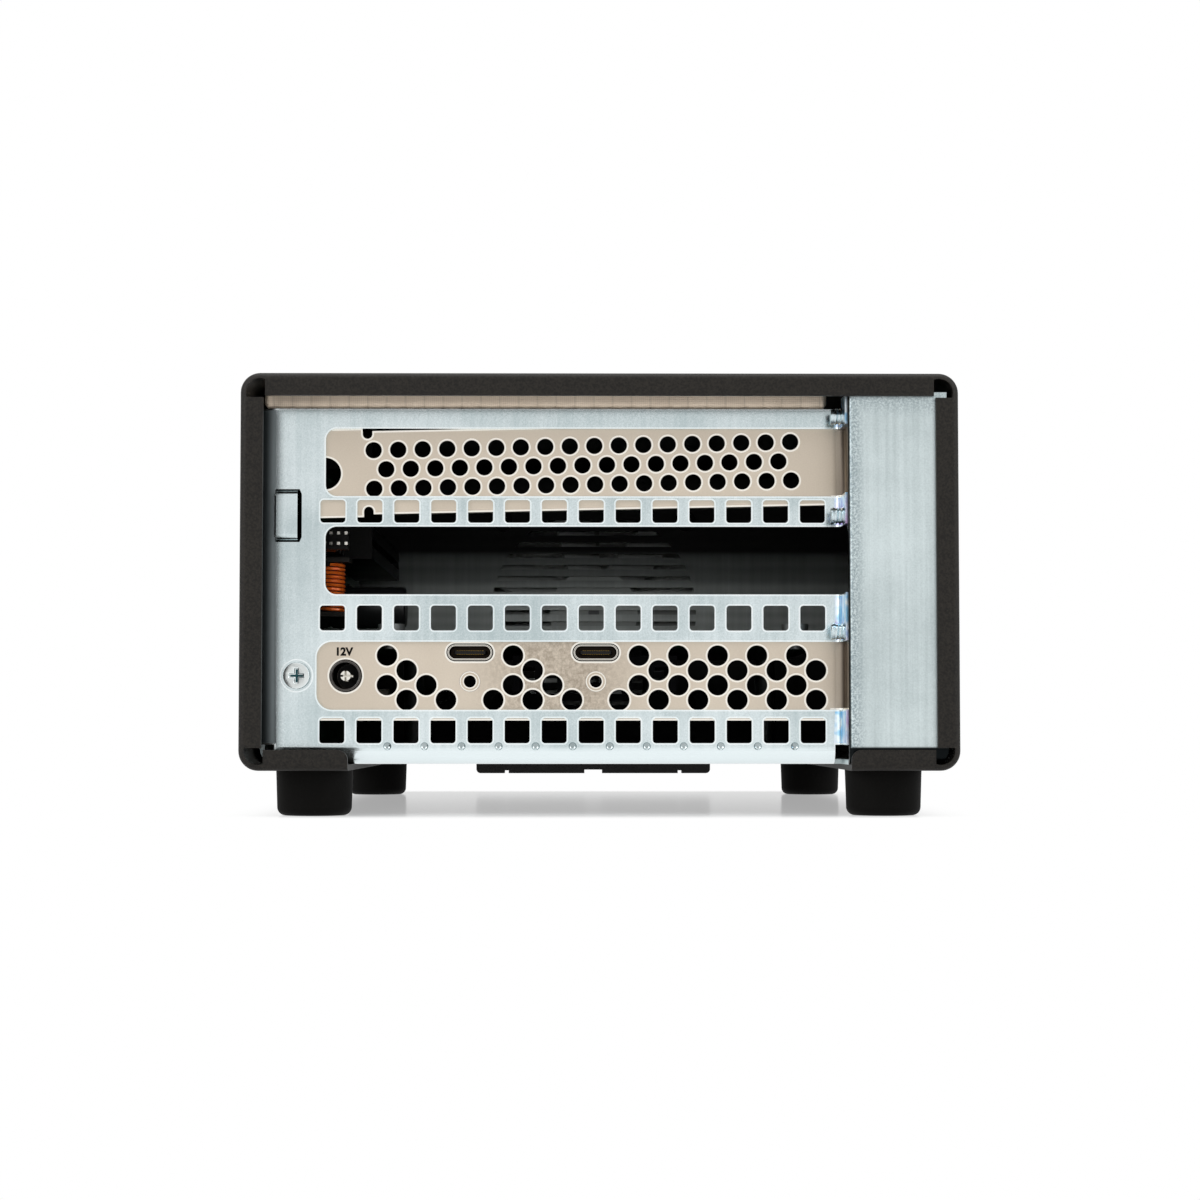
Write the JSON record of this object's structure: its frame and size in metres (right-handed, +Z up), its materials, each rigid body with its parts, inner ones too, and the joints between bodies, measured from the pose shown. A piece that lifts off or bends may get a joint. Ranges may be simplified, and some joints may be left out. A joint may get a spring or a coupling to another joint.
{
  "type": "card expansion chassis",
  "caption": "Small desktop chassis that holds plug-in expansion cards: black sheet cover on rubber feet, recessed plated card cage with vented slots, connector bracket and front fan.",
  "frame": {"origin": "on the table under the middle of the chassis", "axes": "+X to the right as seen from the rear, +Y from the rear card side to the front, +Z up"},
  "size_m": [0.1454, 0.218, 0.0897],
  "materials": {
    "cover_paint": "fine black powder coat",
    "zinc_sheet": "bluish zinc plating",
    "bracket_metal": "warm satin nickel plating",
    "gasket_fabric": "woven conductive fabric over foam",
    "foot_rubber": "matt rubber",
    "bezel_plastic": "fine moulded texture",
    "grille_paint": "black painted perforated sheet",
    "filter_foam": "open foam",
    "lens_plastic": "milky light pipe",
    "screw_steel": "bright zinc",
    "board_green": "solder mask",
    "socket_black": "moulded thermoplastic",
    "jack_black": "moulded thermoplastic",
    "port_steel": "drawn stainless shell",
    "nut_steel": "plated press nut",
    "pin_metal": "nickel-plated contact",
    "copper_wire": "enamelled copper",
    "ferrite": "ferrite",
    "can_metal": "aluminium can",
    "chip_black": "moulded chip body",
    "sink_metal": "extruded aluminium",
    "fan_plastic": "moulded fan plastic",
    "bearing_bronze": "sintered bronze",
    "shaft_steel": "ground steel",
    "lead_sheath": "sleeved lead",
    "plug_white": "moulded connector"
  },
  "bodies": {
    "chassis": {"cover": "cover_paint", "card_cage": "zinc_sheet", "rear_panel": "zinc_sheet", "slot_ledge": "zinc_sheet", "emi_gasket": "gasket_fabric", "upper_slot_cover": "bracket_metal", "io_bracket": "bracket_metal", "io_bracket_tab": "bracket_metal", "dc_jack": "jack_black", "dc_jack_pin": "pin_metal", "port_shell_left": "port_steel", "port_shell_right": "port_steel", "port_tongue_left": "socket_black", "port_tongue_right": "socket_black", "lock_nuts": "nut_steel", "interface_board": "board_green", "board_standoffs": "screw_steel", "board_screws": "screw_steel", "controller_chip": "chip_black", "controller_heatsink": "sink_metal", "backplane": "board_green", "backplane_standoffs": "screw_steel", "backplane_screws": "screw_steel", "slot_connector_upper": "socket_black", "slot_connector_middle": "socket_black", "slot_connector_lower": "socket_black", "choke_core": "ferrite", "choke_winding": "copper_wire", "capacitors": "can_metal", "front_bulkhead": "zinc_sheet", "bulkhead_screws": "screw_steel", "fan_frame": "fan_plastic", "fan_bearing": "bearing_bronze", "fan_screws": "screw_steel", "front_bezel": "bezel_plastic", "front_grille": "grille_paint", "dust_filter": "filter_foam", "light_pipe": "lens_plastic", "foot_rear_left": "foot_rubber", "foot_rear_right": "foot_rubber", "foot_front_left": "foot_rubber", "foot_front_right": "foot_rubber", "foot_screws": "screw_steel", "rear_screw": "screw_steel", "slot_screws": "screw_steel", "fan_cable": "lead_sheath", "fan_header": "plug_white", "fan_plug": "plug_white"},
    "rotor": {"fan_rotor": "fan_plastic", "fan_shaft": "shaft_steel"}
  },
  "joints": [
    {"name": "fan_spin", "type": "hinge", "parent": "chassis", "child": "rotor", "pos_m": [0, 0.0855, 0.0495], "axis": [0, 1, 0], "continuous": true}
  ]
}
